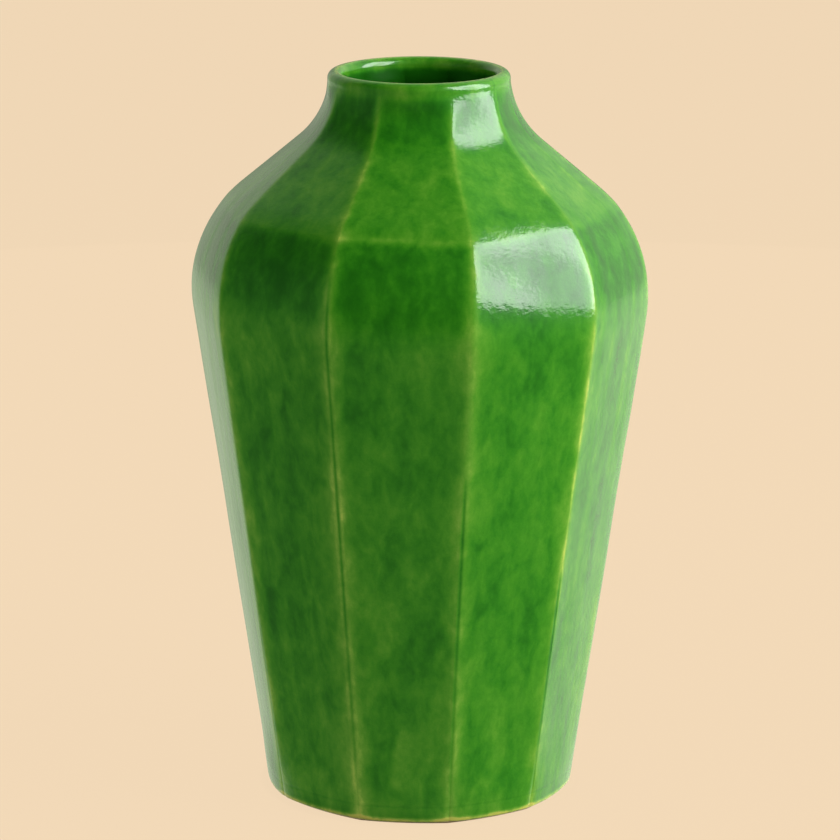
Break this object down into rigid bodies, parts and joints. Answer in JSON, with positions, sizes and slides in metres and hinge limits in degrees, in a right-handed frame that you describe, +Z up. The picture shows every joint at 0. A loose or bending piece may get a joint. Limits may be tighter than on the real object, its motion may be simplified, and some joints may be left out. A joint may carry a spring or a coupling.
{
  "type": "vase",
  "caption": "Tall slab-built stoneware vase with flat upright sides, a full belly high up, a narrow round-lipped neck and a ten-sided foot, glazed green inside and out.",
  "frame": {"origin": "middle of the foot, on the surface that the vase stands on", "axes": "+Z up through the neck; one flat side faces -Y"},
  "size_m": [0.2007, 0.1929, 0.32],
  "materials": {
    "stoneware": "matt",
    "green_glaze": "gloss"
  },
  "bodies": {
    "root": {"base_slab": "stoneware", "wall_panel_01": "stoneware", "wall_panel_02": "stoneware", "wall_panel_03": "stoneware", "wall_panel_04": "stoneware", "wall_panel_05": "stoneware", "wall_panel_06": "stoneware", "wall_panel_07": "stoneware", "wall_panel_08": "stoneware", "wall_panel_09": "stoneware", "wall_panel_10": "stoneware", "rim_ring": "stoneware", "outer_glaze": "green_glaze", "inner_glaze": "green_glaze"}
  },
  "joints": []
}
